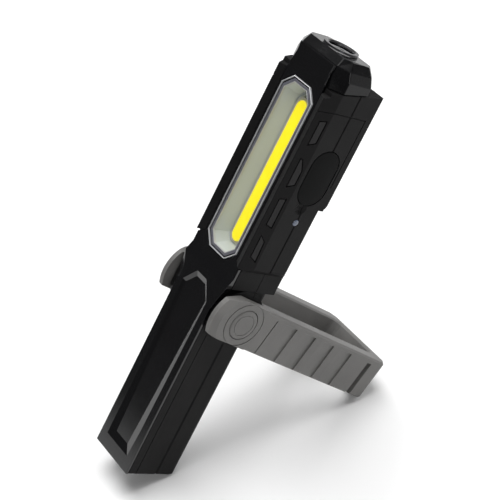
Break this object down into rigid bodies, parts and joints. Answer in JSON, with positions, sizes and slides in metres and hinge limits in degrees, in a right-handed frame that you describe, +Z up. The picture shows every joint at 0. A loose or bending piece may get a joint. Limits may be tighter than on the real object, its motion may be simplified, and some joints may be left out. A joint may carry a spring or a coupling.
{
  "type": "work light",
  "caption": "Handheld LED inspection light: octagonal window over a light strip, end torch, slim handle and a swivelling U-shaped stand.",
  "frame": {"origin": "on the ground, under the centre of the bounding box", "axes": "+Z up, +X to the lamp's right (the side with the button), +Y towards the back, where the stand reaches"},
  "size_m": [0.045, 0.1346, 0.1853],
  "materials": {
    "housing_black": "satin, fine texture",
    "gloss_black": "high gloss",
    "insert_black": "matt",
    "button_black": "matt rubber",
    "stand_grey": "satin, moulded",
    "bezel_metal": "satin metal",
    "clear_cover": "clear, glossy",
    "indicator_clear": "translucent bluish white",
    "bright_reflector": "mirror",
    "tray_white": "off-white, satin",
    "phosphor_yellow": "matt phosphor coating",
    "board_aluminium": "plain",
    "board_green": "solder mask",
    "hardware_steel": "plated",
    "magnet_nickel": "nickel plated",
    "insert_brass": "turned",
    "washer_white": "plain nylon",
    "seal_rubber": "matt",
    "cell_sleeve": "blue sleeve, given the density of a whole cell",
    "lead_red": "insulation",
    "lead_black": "insulation"
  },
  "bodies": {
    "lamp": {"front_shell": "housing_black", "rear_shell": "housing_black", "front_fascia": "gloss_black", "nose_cap": "gloss_black", "torch_ring": "bezel_metal", "torch_lens": "clear_cover", "torch_reflector": "bright_reflector", "torch_led": "phosphor_yellow", "torch_board": "board_aluminium", "torch_lead_red": "lead_red", "torch_lead_black": "lead_black", "window": "clear_cover", "window_gasket": "seal_rubber", "reflector_tray": "tray_white", "led_strip": "phosphor_yellow", "led_board": "board_aluminium", "heat_sink": "board_aluminium", "control_board": "board_green", "tact_switch": "hardware_steel", "charge_socket": "hardware_steel", "light_pipe": "indicator_clear", "battery_cell": "cell_sleeve", "battery_tab_top": "hardware_steel", "battery_tab_bottom": "hardware_steel", "battery_lead_red": "lead_red", "battery_lead_black": "lead_black", "grip_insert_right_1": "insert_black", "grip_insert_right_2": "insert_black", "grip_insert_right_3": "insert_black", "grip_insert_right_4": "insert_black", "grip_insert_left_1": "insert_black", "grip_insert_left_2": "insert_black", "grip_insert_left_3": "insert_black", "grip_insert_left_4": "insert_black", "rear_magnet": "magnet_nickel", "hook_pin": "hardware_steel", "housing_screw_1": "hardware_steel", "housing_screw_2": "hardware_steel", "housing_screw_3": "hardware_steel", "housing_screw_4": "hardware_steel", "housing_screw_5": "hardware_steel", "housing_screw_6": "hardware_steel", "pivot_screw_left": "hardware_steel", "pivot_screw_right": "hardware_steel", "pivot_washer_left": "washer_white", "pivot_washer_right": "washer_white", "pivot_insert_left": "insert_brass", "pivot_insert_right": "insert_brass"},
    "stand": {"stand_frame": "stand_grey", "hub_cap_left": "stand_grey", "hub_cap_right": "stand_grey"},
    "button": {"switch_button": "button_black"},
    "cover": {"charge_cover": "seal_rubber"},
    "hanger": {"hook": "stand_grey"}
  },
  "joints": [
    {"name": "stand_turn", "type": "hinge", "parent": "lamp", "child": "stand", "pos_m": [0, -0.00979, 0.07894], "axis": [1, 0, 0], "range_deg": [-140, 23.5]},
    {"name": "button_press", "type": "slide", "parent": "lamp", "child": "button", "axis": [-1, 0, 0], "range_m": [0, 0.0007], "stiffness_N_per_m": 1500, "springref_m": -0.0003},
    {"name": "cover_bend", "type": "hinge", "parent": "lamp", "child": "cover", "pos_m": [-0.0186, 0.0164, 0.11274], "axis": [0, -0.8392, 0.5439], "range_deg": [0, 100], "stiffness_Nm_per_rad": 0.0006},
    {"name": "hook_fold", "type": "hinge", "parent": "lamp", "child": "hanger", "pos_m": [0, 0.06087, 0.15708], "axis": [1, 0, 0], "range_deg": [0, 180]}
  ]
}
